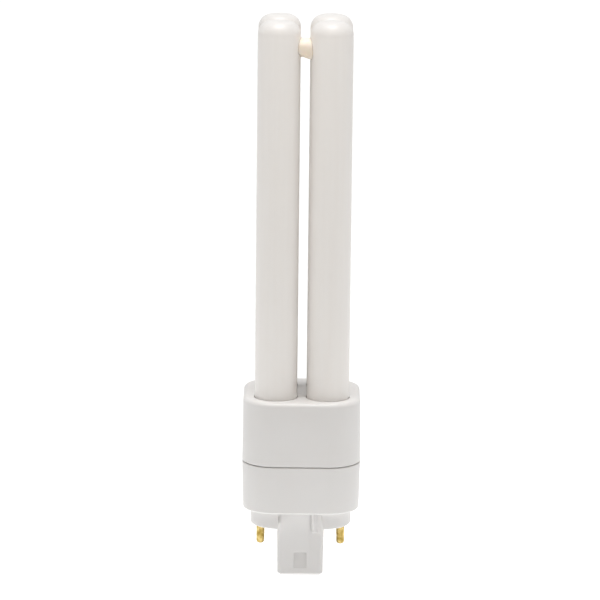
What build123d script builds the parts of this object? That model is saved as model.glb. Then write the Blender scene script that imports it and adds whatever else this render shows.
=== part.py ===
# LED plug-in lamp: four closed tubes in a two-part housing with a four-pin plug base.
# Millimetres. The origin is on the lamp's axis, in the seating plane under the collar.
# +Z runs up to the tube tips, -Y is the front.
import os
from math import atan2, degrees, radians, sqrt, tan

from build123d import *

# Levels above the seating plane
tube_tip_level = 151.5
housing_top_level = 39.1
seam_level = 19.6
collar_height = 5.3

# Housing: both halves are widest at the seam and drafted away from it
housing_width = 35.2
housing_corner = 10.0
housing_wall = 1.8
upper_draft = 0.6
lower_draft = 1.2
top_edge_round = 1.3
base_edge_round = 0.7
seam_gap = 0.22
seam_round = 0.4
lap_height = 2.6
lap_thickness = 0.8
lap_clearance = 0.1

# Tubes and the sockets that hold them
tube_radius = 6.3
tube_wall = 1.0
tube_pitch = 15.4
tip_round = 3.9
tip_crown = 0.3
socket_depth = 8.0
socket_lip = 1.5
tube_fit = 0.2

# Silicone dabs that bond the tubes of a pair near the tips
bond_height = 5.4
bond_reach = 3.3
front_bond_below_tip = 7.8
rear_bond_below_tip = 10.2
bond_slope = 14.0
bond_round = 1.6
bond_film = 0.05

# Collar, set in from the housing, and its front and rear recesses
collar_step = 2.6
collar_corner = 9.6
collar_wall = 1.4
collar_floor = 1.8
collar_edge_round = 0.6
recess_inset = 0.45
recess_corner = 1.6

# Post of the plug, with a latch notch, a key groove and a key rib on its front and rear faces
post_length = 16.1
post_width = 14.25
post_depth = 16.0
post_draft = 0.8
post_wall = 2.0
post_corner = 1.5
post_end_chamfer = 0.7
notch_width = 3.9
notch_depth = 0.9
notch_top = 8.9
notch_height = 5.0
groove_edge = 2.7
groove_depth = 0.5
groove_end = 11.4
key_width = 3.3
key_projection = 1.5
key_bevel = 0.55
key_valley = 0.6
key_end = 2.4

# Contact pins, set in from the collar's edge, and their lead wires
pin_radius = 1.2
pin_length = 7.0
pin_tip_round = 0.96
pin_inset = 3.0
pin_pair_spacing = 8.0
pin_seat_radius = 0.9
pin_shoulder = 0.3
pin_fit = 0.05
pin_head_radius = 1.5
pin_head_height = 0.8
pin_tail_radius = 0.7
pin_tail_length = 2.4
wire_radius = 0.5

# Circuit boards, held on a ledge in the base cap and under the socket block
base_floor = 1.8
ledge_rise = 4.9
ledge_width = 1.4
board_thickness = 1.6
board_fit = 0.2
strip_thickness = 1.0
strip_setback = 2.4
strip_fit = 0.1
strip_headroom = 1.0
link_pin_radius = 0.4
link_pin_spacing = 2.5
link_pin_inset = 2.6

# Light-emitting diodes, in one row on each strip
diode_width = 2.8
diode_length = 3.5
diode_height = 0.8
diode_pitch = 5.2
diode_margin = 4.0

# Screw that holds the strip board
screw_radius = 1.1
screw_length = 7.0
screw_head_radius = 2.2
screw_head_height = 1.6
screw_head_round = 0.8
screw_fit = 0.1

# Driver components: plan size and height, or radius and height, and distances from two board edges
transformer_core = (12.4, 5.2, 10.0)
transformer_coil = (8.6, 10.6, 7.4)
transformer_foot = (11.0, 10.8, 1.4)
transformer_coil_round = 2.15
transformer_inset = (2.6, 5.1)
reservoir_size = (4.0, 11.5)
reservoir_bead = 0.35
reservoir_bead_rise = 1.9
reservoir_top_round = 0.7
reservoir_inset = (4.0, 3.4)
film_size = (10.0, 4.6, 9.0)
film_round = 0.6
film_gap = 0.5
film_inset = 1.9
choke_size = (3.6, 8.6)
choke_waist = (2.5, 1.2)
choke_inset = (3.0, 3.0)
rectifier_size = (8.4, 6.4, 3.2)
rectifier_notch = 1.0
rectifier_inset = (3.4, 5.0)
resistor_size = (1.6, 9.0)
resistor_end_round = 0.8
resistor_pad = (4.5, 1.6)
resistor_inset = (4.3, 1.4)
chip_size = (5.0, 4.0, 1.6)
chip_bevel = 0.4
chip_offset = 0.8
chip_inset = 5.6

# Places and sizes that follow from the values above
inner_width = housing_width - 2 * housing_wall
inner_corner = housing_corner - housing_wall
lap_width = inner_width + 2 * lap_thickness
collar_width = housing_width - 2 * collar_step
pin_spacing = collar_width - 2 * pin_inset
recess_width = post_width - 2 * recess_inset
board_width = inner_width - 2 * board_fit
tube_foot_level = housing_top_level - socket_depth
holder_level = tube_foot_level - socket_lip
ledge_level = collar_height + base_floor + ledge_rise
driver_level = ledge_level + board_thickness
strip_board_level = holder_level - board_thickness
tube_bore = tube_radius - tube_wall
strip_half_width = sqrt(tube_bore**2 - strip_setback**2) - strip_fit
strip_top_level = tube_tip_level - tip_crown - tip_round - strip_headroom
tube_places = {
    "front_left": (-1, -1),
    "front_right": (1, -1),
    "rear_right": (1, 1),
    "rear_left": (-1, 1),
}


def rounded_prism(width, corner, low, high, draft=0.0):
    """Square block with rounded upright corners between two levels, drafted inwards to its top."""
    outline = Pos(0, 0, low) * RectangleRounded(width, width, corner)
    return extrude(outline, amount=high - low, taper=draft)


def upright_cylinder(radius, low, high):
    """Round bar on the Z axis between two levels."""
    return Pos(0, 0, low) * Cylinder(radius, high - low, align=(Align.CENTER, Align.CENTER, Align.MIN))


def upright_cone(foot_radius, top_radius, low, high):
    """Tapered round bar on the Z axis between two levels."""
    size = (foot_radius, top_radius, high - low)
    return Pos(0, 0, low) * Cone(*size, align=(Align.CENTER, Align.CENTER, Align.MIN))


def upright_box(size, low):
    """Block standing on a level, centred on the Z axis."""
    return Pos(0, 0, low) * Box(*size, align=(Align.CENTER, Align.CENTER, Align.MIN))


def both_faces(feature):
    """A feature of the front and the same one turned to the rear."""
    return feature + Rot(0, 0, 180) * feature


def tube_form(radius, rim, low, tip):
    """Closed round tube form: a straight wall, a rounded rim and a slightly crowned tip."""
    shoulder = (radius, tip - tip_crown)
    crown_radius = (radius**2 + tip_crown**2) / (2 * tip_crown)
    wall = Polyline((0, tip), (0, low), (radius, low), shoulder)
    profile = make_face([*wall.edges(), RadiusArc(shoulder, (0, tip), -crown_radius)])
    corner = profile.vertices().sort_by(Axis.Y).filter_by(lambda point: point.X > radius / 2)[-1]
    return revolve(Plane.XZ * fillet(corner, rim), axis=Axis.Z)


def tube():
    """Frosted tube, open at its foot and closed at its tip."""
    outside = tube_form(tube_radius, tip_round, tube_foot_level, tube_tip_level)
    inside = tube_form(tube_bore, tip_round - tube_wall, tube_foot_level, tube_tip_level - tube_wall)
    return outside - inside


def bond(below_tip):
    """Cured dab between the tubes of the front pair, shaped to their walls and sloping at its foot."""
    span = tube_pitch - 2 * sqrt(tube_radius**2 - bond_reach**2)
    dab = fillet(Box(span, 2 * bond_reach, bond_height).edges(), bond_round)
    dab = Pos(0, -tube_pitch / 2, tube_tip_level - below_tip) * Rot(0, bond_slope, 0) * dab
    for side in (-1, 1):
        wall = upright_cylinder(tube_radius + bond_film, 0, tube_tip_level)
        dab -= Pos(side * tube_pitch / 2, -tube_pitch / 2, 0) * wall
    return dab


def strip():
    """Narrow light strip whose long edges bear on the tube's bore."""
    size = (2 * strip_half_width, strip_thickness, strip_top_level - holder_level)
    return Pos(0, strip_setback - strip_thickness / 2, 0) * upright_box(size, holder_level)


def diode_row():
    """Diodes in one row on the strip's front, along the part that stands out of the housing."""
    low = housing_top_level + diode_margin
    count = int((strip_top_level - low) // diode_pitch)
    face = strip_setback - strip_thickness
    diode = Pos(0, face - diode_height / 2, 0) * Box(diode_width, diode_height, diode_length)
    return Compound(children=[Pos(0, 0, low + (i + 0.5) * diode_pitch) * diode for i in range(count)])


def upper_housing():
    """Upper half: drafted skirt under a socket block, with a rebate that seats on the base cap's lip."""
    skirt_level = seam_level + seam_gap
    body = rounded_prism(housing_width, housing_corner, skirt_level, housing_top_level, upper_draft)
    body = fillet(body.faces().sort_by(Axis.Z)[-1].edges(), top_edge_round)
    body = fillet(body.faces().sort_by(Axis.Z)[0].edges(), seam_round)
    body -= rounded_prism(inner_width, inner_corner, seam_level, holder_level)
    rebate = lap_width + 2 * lap_clearance
    rebate_corner = inner_corner + lap_thickness + lap_clearance
    body -= rounded_prism(rebate, rebate_corner, seam_level, seam_level + lap_height)
    socket = upright_cylinder(tube_radius + tube_fit, tube_foot_level, housing_top_level)
    socket += upright_cylinder(tube_bore, holder_level, tube_foot_level)
    for side, end in tube_places.values():
        body -= Pos(side * tube_pitch / 2, end * tube_pitch / 2, 0) * socket
    pilot_top = strip_board_level + screw_length + screw_fit
    body -= upright_cylinder(screw_radius + screw_fit, holder_level, pilot_top)
    return body


def collar():
    """Collar under the lower half, with recesses at the front and rear in which the post's faces rise."""
    body = rounded_prism(collar_width, collar_corner, 0, collar_height)
    body = fillet(body.faces().sort_by(Axis.Z)[0].edges(), collar_edge_round)
    arch = Rectangle(recess_width, 2 * collar_height)
    arch = fillet(arch.vertices(), recess_corner)
    inner_face = post_depth / 2 - post_wall
    recess = extrude(Plane.XZ.offset(inner_face) * arch, amount=collar_width / 2 - inner_face)
    return body - both_faces(recess)


def post_block(width, depth, top, end):
    """Rectangular post, drafted inwards from its root down to its end."""
    root = Plane(origin=(0, 0, top), z_dir=(0, 0, -1))
    return extrude(root * Rectangle(width, depth), amount=top - end, taper=post_draft)


def key_rib():
    """Key rib with two ridges and a valley between them, in the key groove against the recess's side."""
    foot = -post_depth / 2 + groove_depth
    front = foot - key_projection
    half = key_width / 2
    ridge = half - key_bevel
    points = [
        (-half, foot + groove_depth),
        (-half, front + key_bevel),
        (-ridge, front),
        (0, front + key_valley),
        (ridge, front),
        (half, front),
        (half, foot + groove_depth),
    ]
    profile = Pos(recess_width / 2 - half, 0, -key_end) * make_face(Polyline(*points, close=True))
    return extrude(profile, amount=key_end + collar_height)


def post_face(level):
    """Place of the post's drafted front face at a level."""
    return -post_depth / 2 + (collar_height - level) * tan(radians(post_draft))


def face_wedge(left, width, top, end, depth):
    """Cutter for the post's front face: deepest at its top level, running out at its end level."""
    outside = -post_depth / 2 - depth
    points = [(outside, top), (post_face(top) + depth, top), (post_face(end), end), (outside, end)]
    return extrude(Plane.YZ.offset(left) * make_face(Polyline(*points, close=True)), amount=width)


def post():
    """Post with rounded upright edges, a chamfered end and its latch and key features."""
    body = post_block(post_width, post_depth, collar_height, -post_length)
    upright = body.edges().filter_by(lambda edge: abs(edge.tangent_at(0.5).Z) > 0.9)
    body = fillet(upright, post_corner)
    body = chamfer(body.faces().sort_by(Axis.Z)[0].edges(), post_end_chamfer)
    groove_width = recess_width / 2 - groove_edge
    groove = face_wedge(groove_edge, groove_width, collar_height, -groove_end, groove_depth)
    notch_end = -notch_top - notch_height
    notch = face_wedge(-notch_width / 2, notch_width, -notch_top, notch_end, notch_depth)
    return body - both_faces(groove) - both_faces(notch) + both_faces(key_rib())


def base_cap_cavity():
    """Hollow of the base cap: board space, ledge, pin pockets beside the recesses, and post."""
    floor = collar_height + base_floor
    lip_top = seam_level + lap_height
    board_space = rounded_prism(inner_width, inner_corner, ledge_level, lip_top)
    well = rounded_prism(inner_width - 2 * ledge_width, inner_corner - ledge_width, floor, ledge_level)
    pocket = rounded_prism(collar_width - 2 * collar_wall, collar_corner - collar_wall, collar_floor, floor)
    bulkhead_depth = (collar_width - post_depth) / 2 + post_wall
    bulkhead = Pos(0, -collar_width / 2 + bulkhead_depth / 2, 0) * upright_box(
        (post_width + 2 * collar_wall, bulkhead_depth, floor), 0
    )
    pocket -= both_faces(bulkhead)
    hollow_end = -post_length + post_wall
    hollow = post_block(post_width - 2 * post_wall, post_depth - 2 * post_wall, floor, hollow_end)
    return board_space + well + pocket + hollow


def base_cap():
    """Lower half, lip, collar and post, moulded as one shell."""
    seam = Plane(origin=(0, 0, seam_level), z_dir=(0, 0, -1))
    outline = seam * RectangleRounded(housing_width, housing_width, housing_corner)
    body = extrude(outline, amount=seam_level - collar_height, taper=lower_draft)
    body = fillet(body.faces().sort_by(Axis.Z)[0].edges(), base_edge_round)
    body = fillet(body.faces().sort_by(Axis.Z)[-1].edges(), seam_round)
    body += rounded_prism(lap_width, inner_corner + lap_thickness, seam_level, seam_level + lap_height)
    body = body + collar() + post() - base_cap_cavity()
    hole = upright_cylinder(pin_seat_radius + pin_fit, 0, collar_floor)
    hole += upright_cone(pin_radius + 2 * pin_fit, pin_seat_radius + pin_fit, 0, pin_shoulder)
    for x, y in pin_places():
        body -= Pos(x, y, 0) * hole
    return body


def pin_places():
    """Plan positions of the four contact pins, in the order of the tubes."""
    return [(side * pin_spacing / 2, end * pin_pair_spacing / 2) for side, end in tube_places.values()]


def contact_pin():
    """Turned pin: round tip, shank, tapered shoulder, seat in the collar floor, head over it, and tail."""
    head_top = collar_floor + pin_head_height
    shank = upright_cylinder(pin_radius, -pin_length, 0)
    tip = shank.edges().filter_by(GeomType.CIRCLE).sort_by(Axis.Z)[0]
    shank = fillet(tip, pin_tip_round)
    shank += upright_cone(pin_radius, pin_seat_radius, 0, pin_shoulder)
    shank += upright_cylinder(pin_seat_radius, pin_shoulder, collar_floor)
    shank += upright_cylinder(pin_head_radius, collar_floor, head_top)
    return shank + upright_cylinder(pin_tail_radius, head_top, head_top + pin_tail_length)


def lead_wire():
    """Straight lead from a pin's tail to the underside of the driver board."""
    tail_top = collar_floor + pin_head_height + pin_tail_length
    return upright_cylinder(wire_radius, tail_top, ledge_level)


def board(low):
    """Square circuit board that drops into the housing with a small gap all round."""
    return rounded_prism(board_width, inner_corner - board_fit, low, low + board_thickness)


def strip_board():
    """Board that the strips stand on, with a hole for its screw."""
    hole = upright_cylinder(screw_radius + screw_fit, strip_board_level, holder_level)
    return board(strip_board_level) - hole


def board_screw():
    """Pan-head screw from below, through the strip board into the socket block."""
    head = upright_cylinder(screw_head_radius, strip_board_level - screw_head_height, strip_board_level)
    rim = head.edges().filter_by(GeomType.CIRCLE).sort_by(Axis.Z)[0]
    head = fillet(rim, screw_head_round)
    return head + upright_cylinder(screw_radius, strip_board_level, strip_board_level + screw_length)


def link_pins():
    """Pair of straight pins that carry the current from the driver board up to the strip board."""
    pin = upright_cylinder(link_pin_radius, driver_level, strip_board_level)
    row = link_pin_inset - board_width / 2
    sides = (-link_pin_spacing / 2, link_pin_spacing / 2)
    return Compound(children=[Pos(side, row, 0) * pin for side in sides])


def transformer():
    """Coil on a footed former, clasped by an E-shaped core."""
    core = upright_box(transformer_core, driver_level + transformer_foot[2])
    coil_low = driver_level + transformer_foot[2]
    coil = upright_box(transformer_coil, coil_low)
    coil = fillet(coil.edges().filter_by(Axis.Z), transformer_coil_round)
    return upright_box(transformer_foot, driver_level) + coil + core


def reservoir_capacitor():
    """Round can with a rolled bead near its foot and an edge turned in at its top."""
    radius, height = reservoir_size
    can = upright_cylinder(radius, driver_level, driver_level + height)
    can = fillet(can.edges().filter_by(GeomType.CIRCLE).sort_by(Axis.Z)[-1], reservoir_top_round)
    bead_level = driver_level + reservoir_bead_rise
    bead = Pos(0, 0, bead_level) * Torus(radius + reservoir_bead / 2, reservoir_bead)
    return can - bead


def film_capacitor():
    """Boxed capacitor with softened upright edges."""
    block = upright_box(film_size, driver_level)
    return fillet(block.edges().filter_by(Axis.Z), film_round)


def choke():
    """Drum choke: two flanges with a wound waist between them."""
    radius, height = choke_size
    waist_radius, flange = choke_waist
    drum = upright_cylinder(radius, driver_level, driver_level + flange)
    drum += upright_cylinder(waist_radius, driver_level + flange, driver_level + height - flange)
    return drum + upright_cylinder(radius, driver_level + height - flange, driver_level + height)


def bridge_rectifier():
    """Flat rectifier block with one notched end that marks its polarity."""
    block = upright_box(rectifier_size, driver_level)
    notch = upright_cylinder(rectifier_notch, driver_level, driver_level + rectifier_size[2])
    return block - Pos(-rectifier_size[0] / 2, 0, 0) * notch


def fusible_resistor():
    """Round-ended resistor lying on the board."""
    radius, length = resistor_size
    body = Rot(0, 90, 0) * fillet(Cylinder(radius, length).edges(), resistor_end_round)
    pad = upright_box((*resistor_pad, radius), driver_level)
    return Pos(0, 0, driver_level + radius) * body + pad


def control_chip():
    """Small moulded chip with a bevelled top."""
    block = upright_box(chip_size, driver_level)
    return chamfer(block.faces().sort_by(Axis.Z)[-1].edges(), chip_bevel)


def on_board(side, end, width, depth, inset):
    """Place of a component of this plan size, set in from the board's nearest side and end edges."""
    x = side * (board_width / 2 - inset[0] - width / 2)
    y = end * (board_width / 2 - inset[1] - depth / 2)
    return Pos(x, y, 0)


def driver_components():
    """Components of the driver, placed from the edges of their board."""
    can = 2 * reservoir_size[0]
    drum = 2 * choke_size[0]
    film_rear = reservoir_inset[1] + can + film_gap
    chip_side = (board_width - chip_size[0]) / 2 + chip_offset
    resistor_width = 2 * resistor_size[0]
    places = {
        "transformer": on_board(-1, 1, transformer_core[0], transformer_foot[1], transformer_inset),
        "reservoir_capacitor": on_board(1, 1, can, can, reservoir_inset),
        "film_capacitor": on_board(1, 1, film_size[0], film_size[1], (film_inset, film_rear)),
        "choke": on_board(1, -1, drum, drum, choke_inset),
        "bridge_rectifier": on_board(-1, -1, rectifier_size[0], rectifier_size[1], rectifier_inset),
        "fusible_resistor": on_board(-1, 1, resistor_size[1], resistor_width, resistor_inset),
        "control_chip": on_board(-1, -1, chip_size[0], chip_size[1], (chip_side, chip_inset)),
    }
    forms = {
        "transformer": transformer(),
        "reservoir_capacitor": reservoir_capacitor(),
        "film_capacitor": film_capacitor(),
        "choke": choke(),
        "bridge_rectifier": bridge_rectifier(),
        "fusible_resistor": fusible_resistor(),
        "control_chip": control_chip(),
    }
    return {name: places[name] * form for name, form in forms.items()}


def lamp():
    """Every piece of the lamp under its node name."""
    nodes = {"upper_housing": upper_housing(), "base_cap": base_cap()}
    pieces = {"tube": tube(), "light_strip": strip(), "diode_row": diode_row()}
    for place, (side, end) in tube_places.items():
        outwards = degrees(atan2(side, -end))
        seat = Pos(side * tube_pitch / 2, end * tube_pitch / 2, 0) * Rot(0, 0, outwards)
        for name, piece in pieces.items():
            nodes[f"{name}_{place}"] = seat * piece
    for place, (x, y) in zip(tube_places, pin_places()):
        nodes[f"contact_pin_{place}"] = Pos(x, y, 0) * contact_pin()
        nodes[f"lead_wire_{place}"] = Pos(x, y, 0) * lead_wire()
    nodes["front_bond"] = bond(front_bond_below_tip)
    nodes["rear_bond"] = Rot(0, 0, 180) * bond(rear_bond_below_tip)
    nodes["strip_board"] = strip_board()
    nodes["board_screw"] = board_screw()
    nodes["driver_board"] = board(ledge_level)
    nodes["link_pins"] = link_pins()
    nodes.update(driver_components())
    return nodes


os.makedirs("parts", exist_ok=True)
for node, solid in lamp().items():
    export_step(solid, f"parts/{node}.step")
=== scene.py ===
# LED plug-in lamp: frosted tubes in a white two-part housing with a keyed plug base and brass pins.
# Metres, in the lamp's own frame: the origin is in the seating plane under the collar, +Z runs up the
# tubes and -Y is the front.
import math

import bpy
import numpy as np
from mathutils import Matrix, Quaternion, Vector


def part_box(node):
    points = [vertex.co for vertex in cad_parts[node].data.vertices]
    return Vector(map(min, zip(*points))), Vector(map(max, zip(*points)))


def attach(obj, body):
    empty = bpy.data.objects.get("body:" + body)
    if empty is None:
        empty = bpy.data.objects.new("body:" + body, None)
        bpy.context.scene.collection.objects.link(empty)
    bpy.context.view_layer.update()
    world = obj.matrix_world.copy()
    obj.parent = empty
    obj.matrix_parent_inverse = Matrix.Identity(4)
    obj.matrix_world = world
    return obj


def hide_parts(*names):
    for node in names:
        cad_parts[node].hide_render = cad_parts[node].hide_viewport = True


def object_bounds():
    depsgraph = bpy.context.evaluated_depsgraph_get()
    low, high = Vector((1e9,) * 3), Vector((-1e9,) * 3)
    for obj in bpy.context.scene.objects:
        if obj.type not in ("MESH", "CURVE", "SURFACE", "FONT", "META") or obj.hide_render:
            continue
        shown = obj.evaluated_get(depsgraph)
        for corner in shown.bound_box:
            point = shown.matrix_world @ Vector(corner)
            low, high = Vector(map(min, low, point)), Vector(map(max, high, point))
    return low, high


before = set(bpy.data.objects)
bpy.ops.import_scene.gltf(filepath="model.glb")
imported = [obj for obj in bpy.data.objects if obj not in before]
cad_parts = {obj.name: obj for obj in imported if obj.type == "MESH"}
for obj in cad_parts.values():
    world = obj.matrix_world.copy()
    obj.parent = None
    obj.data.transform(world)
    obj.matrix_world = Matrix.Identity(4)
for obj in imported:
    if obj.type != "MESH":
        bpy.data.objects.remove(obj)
cad_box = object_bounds()


# Base cap
# Lower half of the housing, collar and plug post in one injection-moulded shell of white polyester.
# It is moulded in a spark-eroded tool, so its skin is satin, and it holds the driver and the pins.
MM = 0.001


def linear(hex_colour):
    """Linear colour with full alpha of an sRGB hex value."""
    srgb = np.array([int(hex_colour[i:i + 2], 16) for i in (1, 3, 5)]) / 255
    curve = np.where(srgb <= 0.04045, srgb / 12.92, ((srgb + 0.055) / 1.055) ** 2.4)
    return (*curve.tolist(), 1.0)


def feed(tree, node, sockets):
    """Give inputs of a node, by name or number, a constant value or the output that feeds them."""
    for name, value in sockets.items():
        if isinstance(value, bpy.types.NodeSocket):
            tree.links.new(value, node.inputs[name])
        else:
            node.inputs[name].default_value = value


def add(tree, kind, settings, sockets):
    """Add a node, set its properties, and feed its inputs."""
    node = tree.nodes.new(kind)
    for name, value in settings.items():
        setattr(node, name, value)
    feed(tree, node, sockets)
    return node


def new_finish(name):
    """New material: the material, its node tree, its main shader and its object coordinates."""
    finish = bpy.data.materials.new(name)
    finish.use_nodes = True
    tree = finish.node_tree
    place = add(tree, "ShaderNodeTexCoord", {}, {}).outputs["Object"]
    return finish, tree, tree.nodes["Principled BSDF"], place


def per_mm(size):
    """Texture scale that makes one feature of a pattern about this many millimetres across."""
    return 1 / (size * MM)


def dress(finish, *nodes):
    """Give CAD nodes this material in place of their plain one."""
    for name in nodes:
        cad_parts[name].material_slots[0].material = finish


def housing_polyester():
    """White glass-filled polyester: satin, warm white, with the fine grain of a spark-eroded mould."""
    grain_mm, cloud_mm = 0.5, 14.0
    finish, tree, shader, place = new_finish("housing_polyester")
    grain = add(tree, "ShaderNodeTexNoise", {}, {"Vector": place, "Scale": per_mm(grain_mm), "Detail": 2.0})
    cloud = add(tree, "ShaderNodeTexNoise", {}, {"Vector": place, "Scale": per_mm(cloud_mm), "Detail": 3.0})
    tint = add(tree, "ShaderNodeMix", {"data_type": "RGBA"},
               {"Factor": cloud.outputs["Fac"], "A": linear("#E2E0DE"), "B": linear("#E8E7E6")})
    gloss = add(tree, "ShaderNodeMapRange", {},
                {"Value": cloud.outputs["Fac"], "To Min": 0.36, "To Max": 0.46})
    bump = add(tree, "ShaderNodeBump", {},
               {"Height": grain.outputs["Fac"], "Strength": 0.12, "Distance": 0.03 * MM})
    feed(tree, shader, {
        "Base Color": tint.outputs["Result"],
        "Roughness": gloss.outputs["Result"],
        "Normal": bump.outputs["Normal"],
        "IOR": 1.55,
        "Subsurface Weight": 0.12,
        "Subsurface Radius": (1.0, 0.9, 0.8),
        "Subsurface Scale": 0.6 * MM,
    })
    return finish


housing_finish = housing_polyester()
dress(housing_finish, "base_cap")


# Contact pins
# Four turned brass pins, seated in the collar floor and headed over inside, with rounded tips.
def per_band(size):
    """Wave texture scale for bands of this many millimetres: the texture turns 20 radians in one unit."""
    return 2 * math.pi / 20 * per_mm(size)


def pin_brass():
    """Turned brass: fine rings from the lathe tool, and tarnish that dulls and browns it in patches."""
    ring_mm, tarnish_mm = 0.25, 1.6
    finish, tree, shader, place = new_finish("pin_brass")
    rings = add(tree, "ShaderNodeTexWave", {"bands_direction": "Z"},
                {"Vector": place, "Scale": per_band(ring_mm), "Distortion": 0.6, "Detail": 2.0})
    bloom = add(tree, "ShaderNodeTexNoise", {},
                {"Vector": place, "Scale": per_mm(tarnish_mm), "Detail": 4.0})
    tarnish = add(tree, "ShaderNodeMapRange", {},
                  {"Value": bloom.outputs["Fac"], "From Min": 0.35, "From Max": 0.65})
    tint = add(tree, "ShaderNodeMix", {"data_type": "RGBA"},
               {"Factor": tarnish.outputs["Result"], "A": linear("#DAC383"), "B": linear("#AE9349")})
    gloss = add(tree, "ShaderNodeMapRange", {},
                {"Value": tarnish.outputs["Result"], "To Min": 0.2, "To Max": 0.42})
    bump = add(tree, "ShaderNodeBump", {},
               {"Height": rings.outputs["Fac"], "Strength": 0.2, "Distance": 0.02 * MM})
    feed(tree, shader, {
        "Base Color": tint.outputs["Result"],
        "Roughness": gloss.outputs["Result"],
        "Normal": bump.outputs["Normal"],
        "Metallic": 1.0,
    })
    return finish


corners = ("front_left", "front_right", "rear_right", "rear_left")
dress(pin_brass(), *(f"contact_pin_{corner}" for corner in corners))


# Lead wires
# Four short leads in white silicone-rubber sleeving, from the pins' tails up to the driver board.
def wire_sleeving():
    """Extruded rubber sleeving: white, smooth and dull, with a fine chalky mottle."""
    mottle_mm = 0.4
    finish, tree, shader, place = new_finish("wire_sleeving")
    mottle = add(tree, "ShaderNodeTexNoise", {},
                 {"Vector": place, "Scale": per_mm(mottle_mm), "Detail": 2.0})
    tint = add(tree, "ShaderNodeMix", {"data_type": "RGBA"},
               {"Factor": mottle.outputs["Fac"], "A": linear("#DDDAD2"), "B": linear("#EFEDE8")})
    gloss = add(tree, "ShaderNodeMapRange", {},
                {"Value": mottle.outputs["Fac"], "To Min": 0.45, "To Max": 0.6})
    feed(tree, shader, {
        "Base Color": tint.outputs["Result"],
        "Roughness": gloss.outputs["Result"],
        "IOR": 1.41,
    })
    return finish


dress(wire_sleeving(), *(f"lead_wire_{corner}" for corner in corners))


# Driver board and strip board
# Square boards of woven glass and epoxy under a green solder mask. The driver board rests on a ledge in the
# base cap, and the strip board is screwed up under the socket block.
def board_laminate():
    """Green solder mask: glossy, darker over the copper tracks, with the glass weave showing faintly."""
    thread_mm, track_mm = 0.8, 3.0
    finish, tree, shader, place = new_finish("board_laminate")
    warp = add(tree, "ShaderNodeTexWave", {"bands_direction": "X"},
               {"Vector": place, "Scale": per_band(thread_mm), "Distortion": 0.3})
    weft = add(tree, "ShaderNodeTexWave", {"bands_direction": "Y"},
               {"Vector": place, "Scale": per_band(thread_mm), "Distortion": 0.3})
    weave = add(tree, "ShaderNodeMath", {"operation": "MULTIPLY"},
                {0: warp.outputs["Fac"], 1: weft.outputs["Fac"]})
    cells = add(tree, "ShaderNodeTexVoronoi", {"distance": "MANHATTAN", "feature": "F1"},
                {"Vector": place, "Scale": per_mm(track_mm)})
    track = add(tree, "ShaderNodeMapRange", {"interpolation_type": "SMOOTHSTEP"},
                {"Value": cells.outputs["Distance"], "From Min": 0.42, "From Max": 0.5})
    mask = add(tree, "ShaderNodeMix", {"data_type": "RGBA"},
               {"Factor": track.outputs["Result"], "A": linear("#1E5A36"), "B": linear("#2F7A49")})
    height = add(tree, "ShaderNodeMath", {"operation": "ADD"},
                 {0: weave.outputs["Value"], 1: track.outputs["Result"]})
    bump = add(tree, "ShaderNodeBump", {},
               {"Height": height.outputs["Value"], "Strength": 0.3, "Distance": 0.04 * MM})
    feed(tree, shader, {
        "Base Color": mask.outputs["Result"],
        "Normal": bump.outputs["Normal"],
        "Roughness": 0.32,
        "IOR": 1.55,
    })
    return finish


dress(board_laminate(), "driver_board", "strip_board")


# Transformer and choke
# Ferrite cores pressed and fired from iron oxide powder, with their windings taped over, glued to the board.
def core_ferrite():
    """Fired ferrite: charcoal grey and matt, with a sugary grain and lighter ground patches."""
    grain_mm, patch_mm = 0.25, 4.0
    finish, tree, shader, place = new_finish("core_ferrite")
    grain = add(tree, "ShaderNodeTexNoise", {}, {"Vector": place, "Scale": per_mm(grain_mm), "Detail": 3.0})
    patch = add(tree, "ShaderNodeTexNoise", {}, {"Vector": place, "Scale": per_mm(patch_mm), "Detail": 3.0})
    tint = add(tree, "ShaderNodeMix", {"data_type": "RGBA"},
               {"Factor": patch.outputs["Fac"], "A": linear("#3A3837"), "B": linear("#5B5856")})
    bump = add(tree, "ShaderNodeBump", {},
               {"Height": grain.outputs["Fac"], "Strength": 0.5, "Distance": 0.05 * MM})
    feed(tree, shader, {
        "Base Color": tint.outputs["Result"],
        "Normal": bump.outputs["Normal"],
        "Roughness": 0.62,
    })
    return finish


dress(core_ferrite(), "transformer", "choke")


# Reservoir capacitor
# Drawn aluminium can in a heat-shrunk sleeve of dark blue film, soldered upright on the board.
def shrunk_sleeve():
    """Shrunk film sleeve: dark blue and glossy, with fine wrinkles round the can."""
    wrinkle_mm = 0.9
    finish, tree, shader, place = new_finish("shrunk_sleeve")
    ringed = add(tree, "ShaderNodeMapping", {}, {"Vector": place, "Scale": (0.15, 0.15, 1.0)})
    wrinkle = add(tree, "ShaderNodeTexNoise", {},
                  {"Vector": ringed.outputs["Vector"], "Scale": per_mm(wrinkle_mm), "Detail": 3.0})
    tint = add(tree, "ShaderNodeMix", {"data_type": "RGBA"},
               {"Factor": wrinkle.outputs["Fac"], "A": linear("#20263F"), "B": linear("#333C5E")})
    bump = add(tree, "ShaderNodeBump", {},
               {"Height": wrinkle.outputs["Fac"], "Strength": 0.3, "Distance": 0.05 * MM})
    feed(tree, shader, {
        "Base Color": tint.outputs["Result"],
        "Normal": bump.outputs["Normal"],
        "Roughness": 0.28,
        "IOR": 1.54,
    })
    return finish


dress(shrunk_sleeve(), "reservoir_capacitor")


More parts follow.
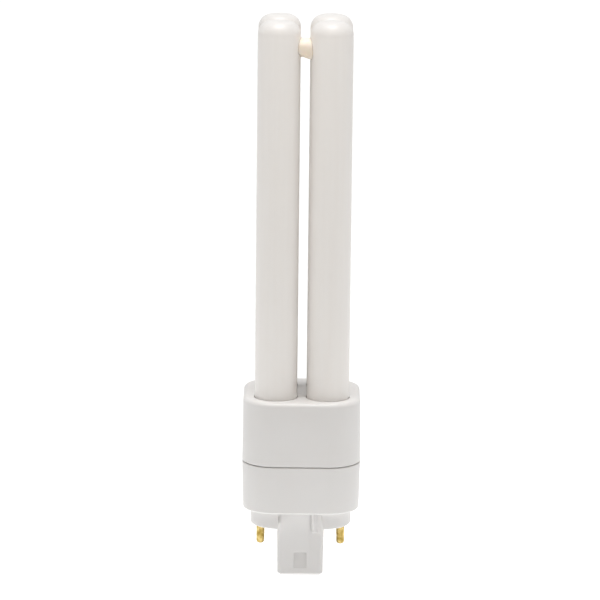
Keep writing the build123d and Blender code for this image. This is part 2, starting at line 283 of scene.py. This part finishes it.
# Film capacitor
# Wound film block potted in a moulded ochre case, soldered upright on the board.
def capacitor_case():
    """Moulded polyester case: ochre, half glossy, with an orange-peel skin."""
    peel_mm, flow_mm = 0.7, 5.0
    finish, tree, shader, place = new_finish("capacitor_case")
    peel = add(tree, "ShaderNodeTexNoise", {}, {"Vector": place, "Scale": per_mm(peel_mm), "Detail": 2.0})
    flow = add(tree, "ShaderNodeTexNoise", {}, {"Vector": place, "Scale": per_mm(flow_mm), "Detail": 2.0})
    tint = add(tree, "ShaderNodeMix", {"data_type": "RGBA"},
               {"Factor": flow.outputs["Fac"], "A": linear("#B98A34"), "B": linear("#D0A34B")})
    bump = add(tree, "ShaderNodeBump", {},
               {"Height": peel.outputs["Fac"], "Strength": 0.2, "Distance": 0.04 * MM})
    feed(tree, shader, {
        "Base Color": tint.outputs["Result"],
        "Normal": bump.outputs["Normal"],
        "Roughness": 0.38,
    })
    return finish


dress(capacitor_case(), "film_capacitor")


# Bridge rectifier and control chip
# Silicon on lead frames, transfer-moulded in black epoxy and soldered flat on the board.
def chip_epoxy():
    """Silica-filled epoxy: near black and matt, with a fine sparkle of filler."""
    filler_mm, haze_mm = 0.15, 2.0
    finish, tree, shader, place = new_finish("chip_epoxy")
    filler = add(tree, "ShaderNodeTexNoise", {},
                 {"Vector": place, "Scale": per_mm(filler_mm), "Detail": 2.0})
    haze = add(tree, "ShaderNodeTexNoise", {}, {"Vector": place, "Scale": per_mm(haze_mm), "Detail": 2.0})
    tint = add(tree, "ShaderNodeMix", {"data_type": "RGBA"},
               {"Factor": haze.outputs["Fac"], "A": linear("#1C1C1E"), "B": linear("#2E2E31")})
    bump = add(tree, "ShaderNodeBump", {},
               {"Height": filler.outputs["Fac"], "Strength": 0.4, "Distance": 0.02 * MM})
    feed(tree, shader, {
        "Base Color": tint.outputs["Result"],
        "Normal": bump.outputs["Normal"],
        "Roughness": 0.55,
    })
    return finish


dress(chip_epoxy(), "bridge_rectifier", "control_chip")


# Fusible resistor
# Wire-wound ceramic rod dipped in a grey-green flameproof coat, lying on the board.
def resistor_coat():
    """Dipped cement coat: grey-green and matt, lumpy, with pits where it bubbled."""
    lump_mm, pit_mm = 1.2, 0.5
    finish, tree, shader, place = new_finish("resistor_coat")
    lump = add(tree, "ShaderNodeTexNoise", {}, {"Vector": place, "Scale": per_mm(lump_mm), "Detail": 2.0})
    pits = add(tree, "ShaderNodeTexVoronoi", {}, {"Vector": place, "Scale": per_mm(pit_mm)})
    tint = add(tree, "ShaderNodeMix", {"data_type": "RGBA"},
               {"Factor": lump.outputs["Fac"], "A": linear("#76857C"), "B": linear("#8F9D94")})
    bump = add(tree, "ShaderNodeBump", {},
               {"Height": pits.outputs["Distance"], "Strength": 0.3, "Distance": 0.06 * MM})
    feed(tree, shader, {
        "Base Color": tint.outputs["Result"],
        "Normal": bump.outputs["Normal"],
        "Roughness": 0.7,
    })
    return finish


dress(resistor_coat(), "fusible_resistor")


# Link pins and board screw
# Zinc-plated steel: two straight pins soldered between the boards, and the pan-head screw that holds the
# strip board.
def plated_steel():
    """Zinc plate on drawn steel: bright grey, with fine lines along the drawn length and a cloudy bloom."""
    line_mm, bloom_mm = 0.2, 1.5
    finish, tree, shader, place = new_finish("plated_steel")
    drawn = add(tree, "ShaderNodeMapping", {}, {"Vector": place, "Scale": (1.0, 1.0, 0.05)})
    lines = add(tree, "ShaderNodeTexNoise", {},
                {"Vector": drawn.outputs["Vector"], "Scale": per_mm(line_mm), "Detail": 2.0})
    bloom = add(tree, "ShaderNodeTexNoise", {}, {"Vector": place, "Scale": per_mm(bloom_mm), "Detail": 2.0})
    tint = add(tree, "ShaderNodeMix", {"data_type": "RGBA"},
               {"Factor": bloom.outputs["Fac"], "A": linear("#B4B6B8"), "B": linear("#CDCFD0")})
    gloss = add(tree, "ShaderNodeMapRange", {},
                {"Value": lines.outputs["Fac"], "To Min": 0.22, "To Max": 0.38})
    feed(tree, shader, {
        "Base Color": tint.outputs["Result"],
        "Roughness": gloss.outputs["Result"],
        "Metallic": 1.0,
    })
    return finish


dress(plated_steel(), "link_pins", "board_screw")


# Upper housing
# Upper half of the housing: a drafted skirt under a block with four sockets that the tubes are glued into.
# It is moulded of the same white polyester and snaps over the lip of the base cap.
dress(housing_finish, "upper_housing")


# Light strips
# Four narrow aluminium-cored strips under a white solder mask, which stand on the strip board in the tubes.
def strip_mask():
    """White solder mask: bright and half glossy, with faint raised tracks along the strip."""
    track_mm, cloud_mm = 1.0, 6.0
    finish, tree, shader, place = new_finish("strip_mask")
    along = add(tree, "ShaderNodeMapping", {}, {"Vector": place, "Scale": (1.0, 1.0, 0.08)})
    track = add(tree, "ShaderNodeTexVoronoi", {"distance": "CHEBYCHEV"},
                {"Vector": along.outputs["Vector"], "Scale": per_mm(track_mm)})
    cloud = add(tree, "ShaderNodeTexNoise", {}, {"Vector": place, "Scale": per_mm(cloud_mm), "Detail": 2.0})
    tint = add(tree, "ShaderNodeMix", {"data_type": "RGBA"},
               {"Factor": cloud.outputs["Fac"], "A": linear("#E9E9E5"), "B": linear("#F3F3F0")})
    bump = add(tree, "ShaderNodeBump", {},
               {"Height": track.outputs["Distance"], "Strength": 0.15, "Distance": 0.03 * MM})
    feed(tree, shader, {
        "Base Color": tint.outputs["Result"],
        "Normal": bump.outputs["Normal"],
        "Roughness": 0.35,
    })
    return finish


dress(strip_mask(), *(f"light_strip_{corner}" for corner in corners))


# Diode rows
# Light-emitting diodes in a row on each strip, each a chip under a drop of silicone with yellow phosphor.
def diode_phosphor():
    """Phosphor in clear silicone: egg yellow, glossy, and paler where the grains have settled."""
    grain_mm, settle_mm = 0.12, 1.4
    finish, tree, shader, place = new_finish("diode_phosphor")
    grain = add(tree, "ShaderNodeTexNoise", {}, {"Vector": place, "Scale": per_mm(grain_mm), "Detail": 1.0})
    settle = add(tree, "ShaderNodeTexNoise", {},
                 {"Vector": place, "Scale": per_mm(settle_mm), "Detail": 2.0})
    tint = add(tree, "ShaderNodeMix", {"data_type": "RGBA"},
               {"Factor": settle.outputs["Fac"], "A": linear("#E8C33F"), "B": linear("#F3DC86")})
    bump = add(tree, "ShaderNodeBump", {},
               {"Height": grain.outputs["Fac"], "Strength": 0.1, "Distance": 0.02 * MM})
    feed(tree, shader, {
        "Base Color": tint.outputs["Result"],
        "Normal": bump.outputs["Normal"],
        "Roughness": 0.25,
        "IOR": 1.41,
        "Subsurface Weight": 0.3,
        "Subsurface Radius": (1.0, 0.8, 0.2),
        "Subsurface Scale": 0.4 * MM,
    })
    return finish


dress(diode_phosphor(), *(f"diode_row_{corner}" for corner in corners))


# Tubes
# Four tubes of opal polycarbonate, blow-moulded with closed rounded tips and frosted to spread the light.
# Each is glued into its socket in the upper housing and hides the strip that stands in it.
def tip_arc(radius, rim, crown, tip, steps):
    """Profile of a closed tip, from the pole outwards and down to the wall.

    A shallow crown arc of sagitta `crown` runs out from the pole, and a rim arc, tangent to it and to the
    wall, turns down into the wall. The rim's centre lies a rim radius inside both of them.
    """
    crown_radius = (radius**2 + crown**2) / (2 * crown)
    crown_centre = tip - crown_radius
    rise = math.sqrt((crown_radius - rim) ** 2 - (radius - rim) ** 2)
    meet = math.atan2(radius - rim, rise)
    lean = np.linspace(0, meet, steps)
    crown_part = np.stack([crown_radius * np.sin(lean), crown_centre + crown_radius * np.cos(lean)], 1)
    turn = np.linspace(meet, math.pi / 2, 3 * steps)[1:]
    rim_part = np.stack([radius - rim + rim * np.sin(turn), crown_centre + rise + rim * np.cos(turn)], 1)
    return np.concatenate([crown_part, rim_part])


def ring_shell(name, rings, poles):
    """Smooth closed mesh through rings of points that run anticlockwise seen from above, from the top down.

    Neighbouring rings are joined by quads, and the last quad of a ring closes on its first point. Fans join
    the first ring to the first pole and the last ring to the last pole.
    """
    count, around = rings.shape[:2]
    points = np.concatenate([rings.reshape(-1, 3), poles])
    index = np.arange(count * around).reshape(count, around)
    after = np.roll(index, -1, 1)
    quads = np.stack([index[:-1], index[1:], after[1:], after[:-1]], -1).reshape(-1, 4)
    first = np.stack([np.full(around, len(points) - 2), index[0], after[0]], -1)
    last = np.stack([index[-1], np.full(around, len(points) - 1), after[-1]], -1)
    mesh = bpy.data.meshes.new(name)
    mesh.from_pydata(points.tolist(), [], quads.tolist() + first.tolist() + last.tolist())
    mesh.shade_smooth()
    return mesh


def place_piece(name, mesh, finish, node):
    """Show a mesh with its finish in place of a CAD node, riding with the lamp."""
    mesh.materials.append(finish)
    piece = bpy.data.objects.new(name, mesh)
    bpy.context.scene.collection.objects.link(piece)
    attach(piece, "root")
    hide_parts(node)


def tube_shell(name, node):
    """Tube of one wall thickness, turned about its upright axis.

    The profile runs down its tip and wall outside, and up the same curve a wall smaller inside. Each profile
    point makes one ring: its radius times the cosine and sine of an even turn, at its level.
    """
    wall, rim, crown = 1.0 * MM, 3.9 * MM, 0.3 * MM
    outer_steps, inner_steps, wall_steps, around = 10, 6, 19, 128
    low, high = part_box(node)
    axis = ((low.x + high.x) / 2, (low.y + high.y) / 2)
    radius = (high.x - low.x) / 2
    outside = tip_arc(radius, rim, crown, high.z, outer_steps)
    inside = tip_arc(radius - wall, rim - wall, crown, high.z - wall, inner_steps)
    descent = np.linspace(inside[-1, 1], low.z, wall_steps + 1)[1:]
    outer_wall = np.stack([np.full(wall_steps, radius), descent], 1)
    inner_wall = np.stack([np.full(wall_steps, radius - wall), descent], 1)
    profile = np.concatenate([outside, outer_wall, inner_wall[::-1], inside[::-1]])
    angle = np.arange(around) * 2 * math.pi / around
    x = axis[0] + profile[1:-1, :1] * np.cos(angle)
    y = axis[1] + profile[1:-1, :1] * np.sin(angle)
    z = np.broadcast_to(profile[1:-1, 1:], x.shape)
    poles = [(*axis, profile[0, 1]), (*axis, profile[-1, 1])]
    return ring_shell(name, np.stack([x, y, z], -1), poles)


def tube_opal():
    """Opal polycarbonate: milky, satin from its frosting, with faint streaks along the drawn length.

    The colour greys towards the pole at the top of the tube: painted shade that tones down the overhead
    light on the tips.
    """
    frost_mm, streak_mm, tip_shade_mm = 0.4, 1.2, 5.0
    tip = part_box("tube_front_left")[1].z
    finish, tree, shader, place = new_finish("tube_opal")
    drawn = add(tree, "ShaderNodeMapping", {}, {"Vector": place, "Scale": (1.0, 1.0, 0.03)})
    frost = add(tree, "ShaderNodeTexNoise", {}, {"Vector": place, "Scale": per_mm(frost_mm), "Detail": 2.0})
    streak = add(tree, "ShaderNodeTexNoise", {},
                 {"Vector": drawn.outputs["Vector"], "Scale": per_mm(streak_mm), "Detail": 3.0})
    tint = add(tree, "ShaderNodeMix", {"data_type": "RGBA"},
               {"Factor": streak.outputs["Fac"], "A": linear("#F5F1ED"), "B": linear("#F9F6F3")})
    axes = add(tree, "ShaderNodeSeparateXYZ", {}, {"Vector": place})
    # Painted shade: over the top 5 mm of the tube the tint greys smoothly, up to 0.8 of the way to #D6D5D4
    # at the pole.
    tip_shade_ramp = add(tree, "ShaderNodeMapRange", {"interpolation_type": "SMOOTHSTEP"},
                   {"Value": axes.outputs["Z"], "From Min": tip - tip_shade_mm * MM, "From Max": tip,
                    "To Max": 0.8})
    tip_shaded_tint = add(tree, "ShaderNodeMix", {"data_type": "RGBA"},
                {"Factor": tip_shade_ramp.outputs["Result"], "A": tint.outputs["Result"], "B": linear("#D6D5D4")})
    gloss = add(tree, "ShaderNodeMapRange", {},
                {"Value": streak.outputs["Fac"], "To Min": 0.36, "To Max": 0.46})
    bump = add(tree, "ShaderNodeBump", {},
               {"Height": frost.outputs["Fac"], "Strength": 0.1, "Distance": 0.02 * MM})
    feed(tree, shader, {
        "Base Color": tip_shaded_tint.outputs["Result"],
        "Roughness": gloss.outputs["Result"],
        "Normal": bump.outputs["Normal"],
        "IOR": 1.58,
        "Subsurface Weight": 0.3,
        "Subsurface Radius": (1.0, 0.97, 0.94),
        "Subsurface Scale": 0.5 * MM,
    })
    return finish


tube_finish = tube_opal()
for corner in corners:
    shell = tube_shell(f"opal_tube_{corner}", f"tube_{corner}")
    place_piece(f"opal_tube_{corner}", shell, tube_finish, f"tube_{corner}")


# Silicone dabs
# Cream silicone squeezed by hand between the tubes of each pair near their tips, and cured in place.
def dab_body(name, node, end, half_height, foot_slope):
    """Squeezed dab that wets both tubes: a ring of points at each latitude, with its sides on the walls.

    A ring is the outline of a unit square, `across` from tube to tube and `along` from face to face. Its
    depth is the dab's half depth times a power of the latitude's cosine, a little less at the sides, so that
    both faces bulge. Its width at each depth is half the pitch less the tube wall's half chord there. Its
    height is the half height times a power of the latitude's sine, less a slope across that grows from none
    at the top to its full value at the foot. `end` is -1 for the front pair and 1 for the rear pair.
    """
    pitch, tube_radius, half_depth = 15.4 * MM, 6.36 * MM, 3.6 * MM
    bulge, top_power, foot_power = 0.15, 0.9, 0.5
    rows, side_steps = 33, 12
    low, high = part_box(node)
    middle = (low.z + high.z) / 2
    step = np.linspace(-1, 1, side_steps + 1)[:-1]
    one = np.ones(side_steps)
    across = np.concatenate([step, one, -step, -one])
    along = np.concatenate([one, -step, -one, step])
    latitude = np.linspace(math.pi / 2, -math.pi / 2, rows)[1:-1, None]
    power = np.where(latitude > 0, top_power, foot_power)
    depth = half_depth * np.cos(latitude) ** power * along * (1 - bulge * across**2)
    width = across * (pitch / 2 - np.sqrt(tube_radius**2 - depth**2))
    rise = np.sign(latitude) * np.abs(np.sin(latitude)) ** power
    height = half_height * rise - foot_slope * width * (1 - rise) / 2
    rings = np.stack([-end * width, end * (pitch / 2 + depth), middle + height], -1)
    poles = [(0, end * pitch / 2, middle + half_height), (0, end * pitch / 2, middle - half_height)]
    return ring_shell(name, rings, poles)


def dab_silicone():
    """Cured silicone: cream, soft and a little translucent, with a dull shine."""
    lump_mm = 1.6
    finish, tree, shader, place = new_finish("dab_silicone")
    lumps = add(tree, "ShaderNodeTexNoise", {}, {"Vector": place, "Scale": per_mm(lump_mm), "Detail": 3.0})
    tint = add(tree, "ShaderNodeMix", {"data_type": "RGBA"},
               {"Factor": lumps.outputs["Fac"], "A": linear("#EFE1D0"), "B": linear("#F5EBDD")})
    bump = add(tree, "ShaderNodeBump", {},
               {"Height": lumps.outputs["Fac"], "Strength": 0.15, "Distance": 0.1 * MM})
    feed(tree, shader, {
        "Base Color": tint.outputs["Result"],
        "Normal": bump.outputs["Normal"],
        "Roughness": 0.4,
        "IOR": 1.41,
        "Subsurface Weight": 0.5,
        "Subsurface Radius": (1.0, 0.85, 0.6),
        "Subsurface Scale": 1.2 * MM,
    })
    return finish


dab_finish = dab_silicone()
for pair, end, half_height, slope in (("front", -1, 2.85 * MM, 20), ("rear", 1, 2.4 * MM, 4)):
    foot_slope = math.tan(math.radians(slope))
    dab = dab_body(f"silicone_dab_{pair}", f"{pair}_bond", end, half_height, foot_slope)
    place_piece(f"silicone_dab_{pair}", dab, dab_finish, f"{pair}_bond")


# Studio
# A pale light table that the lamp stands on, in a white tent that is dimmer in front, with a broad soft
# light overhead and a soft box above the front.
def light_table():
    """Large acrylic sheet with a faint cloudiness, lit from below.

    It is brightest under the lamp, and fades to the edges of a lane behind it and towards the front.
    """
    half, level, cloud_mm = 6.0, cad_box[0].z, 300.0
    bright_radius, even_radius, bright, even = 0.05, 0.3, 1.03, 0.74
    lane_edge, lane_end, front_edge, front_end, faded = 0.2, 0.6, -0.06, -0.25, 0.55
    mesh = bpy.data.meshes.new("light_table")
    edge = [(-half, -half), (half, -half), (half, half), (-half, half)]
    mesh.from_pydata([(x, y, level) for x, y in edge], [], [(0, 1, 2, 3)])
    finish, tree, shader, place = new_finish("table_acrylic")
    cloud = add(tree, "ShaderNodeTexNoise", {}, {"Vector": place, "Scale": per_mm(cloud_mm)})
    tint = add(tree, "ShaderNodeMix", {"data_type": "RGBA"},
               {"Factor": cloud.outputs["Fac"], "A": linear("#8A8A89"), "B": linear("#8F8F8E")})
    radius = add(tree, "ShaderNodeVectorMath", {"operation": "LENGTH"}, {"Vector": place})
    spot = add(tree, "ShaderNodeMapRange", {"interpolation_type": "SMOOTHSTEP"},
               {"Value": radius.outputs["Value"], "From Min": bright_radius, "From Max": even_radius,
                "To Min": bright, "To Max": even})
    axes = add(tree, "ShaderNodeSeparateXYZ", {}, {"Vector": place})
    aside = add(tree, "ShaderNodeMath", {"operation": "ABSOLUTE"}, {0: axes.outputs["X"]})
    lane = add(tree, "ShaderNodeMapRange", {"interpolation_type": "SMOOTHSTEP"},
               {"Value": aside.outputs["Value"], "From Min": lane_edge, "From Max": lane_end,
                "To Min": 1.0, "To Max": faded})
    forward = add(tree, "ShaderNodeMapRange", {"interpolation_type": "SMOOTHSTEP"},
                  {"Value": axes.outputs["Y"], "From Min": front_end, "From Max": front_edge,
                   "To Min": faded, "To Max": 1.0})
    dimmer = add(tree, "ShaderNodeMath", {"operation": "MINIMUM"},
                 {0: lane.outputs["Result"], 1: forward.outputs["Result"]})
    glow = add(tree, "ShaderNodeMath", {"operation": "MULTIPLY"},
               {0: spot.outputs["Result"], 1: dimmer.outputs["Value"]})
    feed(tree, shader, {
        "Base Color": tint.outputs["Result"],
        "Roughness": 0.6,
        "Emission Color": linear("#FFFFFF"),
        "Emission Strength": glow.outputs["Value"],
    })
    mesh.materials.append(finish)
    table = bpy.data.objects.new("light_table", mesh)
    bpy.context.scene.collection.objects.link(table)


def soft_light(name, direction, strength, spread, colour):
    """Distant light that falls along a direction, softened over an angle in degrees."""
    light = bpy.data.lights.new(name, "SUN")
    light.energy = strength
    light.angle = math.radians(spread)
    light.color = linear(colour)[:3]
    lamp = bpy.data.objects.new(name, light)
    lamp.rotation_mode = "QUATERNION"
    lamp.rotation_quaternion = Vector(direction).to_track_quat("-Z", "Y")
    bpy.context.scene.collection.objects.link(lamp)


def soft_box(name, place, target, side, power, colour):
    """Square lamp with a white front cloth, turned to a target."""
    light = bpy.data.lights.new(name, "AREA")
    light.energy = power
    light.size = side
    light.color = linear(colour)[:3]
    lamp = bpy.data.objects.new(name, light)
    lamp.location = place
    lamp.rotation_mode = "QUATERNION"
    lamp.rotation_quaternion = (Vector(target) - Vector(place)).to_track_quat("-Z", "Y")
    bpy.context.scene.collection.objects.link(lamp)


def light_tent(front, rear, warm, white):
    """Light from all round, as in a white tent: dimmer and warmer in front than at the sides and behind."""
    world = bpy.data.worlds.new("light_tent")
    world.use_nodes = True
    tree = world.node_tree
    direction = add(tree, "ShaderNodeTexCoord", {}, {}).outputs["Generated"]
    axes = add(tree, "ShaderNodeSeparateXYZ", {}, {"Vector": direction})
    backwards = add(tree, "ShaderNodeMapRange", {"interpolation_type": "SMOOTHSTEP"},
                    {"Value": axes.outputs["Y"], "From Min": -1.0, "From Max": 0.2}).outputs["Result"]
    cloth = add(tree, "ShaderNodeMix", {"data_type": "RGBA"},
                {"Factor": backwards, "A": linear(warm), "B": linear(white)})
    strength = add(tree, "ShaderNodeMapRange", {}, {"Value": backwards, "To Min": front, "To Max": rear})
    feed(tree, tree.nodes["Background"],
         {"Color": cloth.outputs["Result"], "Strength": strength.outputs["Result"]})
    bpy.context.scene.world = world


def photo_camera():
    """Camera in front and a little above, with a long lens, rolled so that the lamp leans to the right."""
    distance, lift, turn, roll = 1.1, math.radians(11.94), math.radians(0.07), math.radians(0.62)
    pixels, focal_pixels, left_pixels, sensor, aim_level = 600, 3694.2, 2.84, 36.0, 0.06682
    aim = Vector((-left_pixels * distance / focal_pixels, 0.0, aim_level))
    back = Vector((-math.sin(turn) * math.cos(lift), -math.cos(turn) * math.cos(lift), math.sin(lift)))
    camera = bpy.data.objects.new("photo_camera", bpy.data.cameras.new("photo_camera"))
    camera.data.sensor_width = sensor
    camera.data.lens = focal_pixels * sensor / pixels
    camera.location = aim + back * distance
    camera.rotation_mode = "QUATERNION"
    camera.rotation_quaternion = (-back).to_track_quat("-Z", "Y") @ Quaternion((0, 0, 1), roll)
    bpy.context.scene.collection.objects.link(camera)
    bpy.context.scene.camera = camera


light_table()
soft_light("overhead_light", (0.0, 0.06, -1.0), 2.0, 30, "#FFFFFF")
soft_box("front_box", (0.0, -0.15, 0.3), (0.0, 0.0, 0.13), 0.24, 0.24, "#FFFAF4")
light_tent(0.04, 0.6, "#FFF4EA", "#FFFFFF")
photo_camera()
bpy.context.scene.view_settings.view_transform = "Standard"
